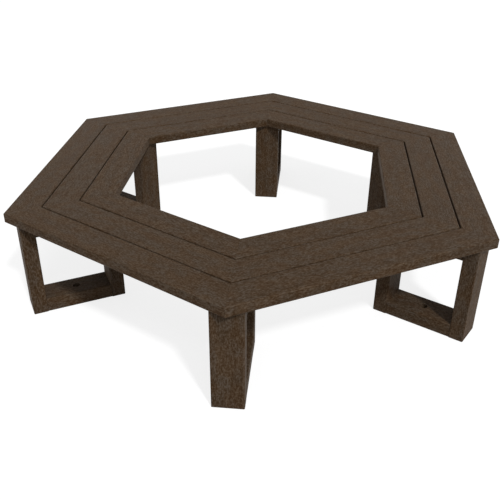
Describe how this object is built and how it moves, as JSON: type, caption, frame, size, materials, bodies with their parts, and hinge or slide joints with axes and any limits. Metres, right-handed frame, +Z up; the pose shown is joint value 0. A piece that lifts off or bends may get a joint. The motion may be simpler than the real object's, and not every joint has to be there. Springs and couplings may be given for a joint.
{
  "type": "tree bench",
  "caption": "Hexagonal backless bench of mitred plank slats on closed rectangular plank frames, built around an open middle for a tree.",
  "frame": {"origin": "on the ground at the middle of the hexagon, on the axis of the tree", "axes": "+Z up; -Y towards frame 1, one corner of the hexagon; +X square to one pair of flat sides"},
  "size_m": [1.856, 2.143, 0.45],
  "materials": {
    "seat_plank": "matt brown recycled plastic with a fine speckled grain",
    "frame_plank": "matt brown recycled plastic with a fine speckled grain",
    "screw_steel": "zinc-plated steel"
  },
  "bodies": {
    "root": {"inner_slat_1": "seat_plank", "middle_slat_1": "seat_plank", "outer_slat_1": "seat_plank", "inner_leg_1": "frame_plank", "outer_leg_1": "frame_plank", "foot_rail_1": "frame_plank", "top_rail_1": "frame_plank", "inner_slat_2": "seat_plank", "middle_slat_2": "seat_plank", "outer_slat_2": "seat_plank", "inner_leg_2": "frame_plank", "outer_leg_2": "frame_plank", "foot_rail_2": "frame_plank", "top_rail_2": "frame_plank", "inner_slat_3": "seat_plank", "middle_slat_3": "seat_plank", "outer_slat_3": "seat_plank", "inner_leg_3": "frame_plank", "outer_leg_3": "frame_plank", "foot_rail_3": "frame_plank", "top_rail_3": "frame_plank", "inner_slat_4": "seat_plank", "middle_slat_4": "seat_plank", "outer_slat_4": "seat_plank", "inner_leg_4": "frame_plank", "outer_leg_4": "frame_plank", "foot_rail_4": "frame_plank", "top_rail_4": "frame_plank", "inner_slat_5": "seat_plank", "middle_slat_5": "seat_plank", "outer_slat_5": "seat_plank", "inner_leg_5": "frame_plank", "outer_leg_5": "frame_plank", "foot_rail_5": "frame_plank", "top_rail_5": "frame_plank", "inner_slat_6": "seat_plank", "middle_slat_6": "seat_plank", "outer_slat_6": "seat_plank", "inner_leg_6": "frame_plank", "outer_leg_6": "frame_plank", "foot_rail_6": "frame_plank", "top_rail_6": "frame_plank", "slat_screws": "screw_steel"}
  },
  "joints": []
}
